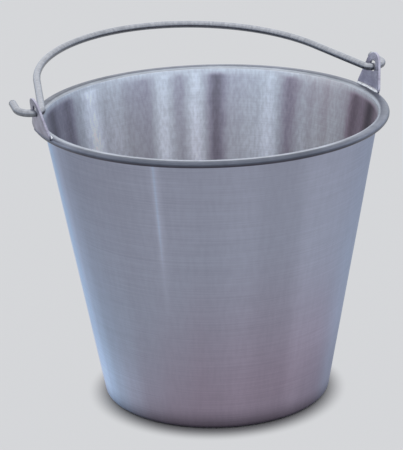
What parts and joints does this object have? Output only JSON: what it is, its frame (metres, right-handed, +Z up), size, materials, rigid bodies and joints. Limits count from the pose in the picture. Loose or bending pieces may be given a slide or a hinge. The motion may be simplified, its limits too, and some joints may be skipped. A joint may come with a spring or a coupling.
{
  "type": "milk pail",
  "caption": "Tapered steel pail with a rolled rim, pierced ears welded to the rim and a wire bail hooked through them.",
  "frame": {"origin": "centre of the flat underside", "axes": "+Z up, X along the bail's pivot axis through both ears, +Y towards the side that the bail is laid back on"},
  "size_m": [0.3446, 0.3236, 0.2926],
  "materials": {
    "pail_steel": "satin drawn stainless steel",
    "ear_steel": "satin stamped stainless steel",
    "weld_metal": "ground fillet weld",
    "bail_wire": "drawn steel wire"
  },
  "bodies": {
    "pail": {"pail_shell": "pail_steel", "ear_left": "ear_steel", "ear_right": "ear_steel", "ear_weld_left": "weld_metal", "ear_weld_right": "weld_metal"},
    "bail": {"bail": "bail_wire"}
  },
  "joints": [
    {"name": "bail_swing", "type": "hinge", "parent": "pail", "child": "bail", "pos_m": [0, 0, 0.2718], "axis": [1, 0, 0], "range_deg": [-15.2, 183.2]}
  ]
}
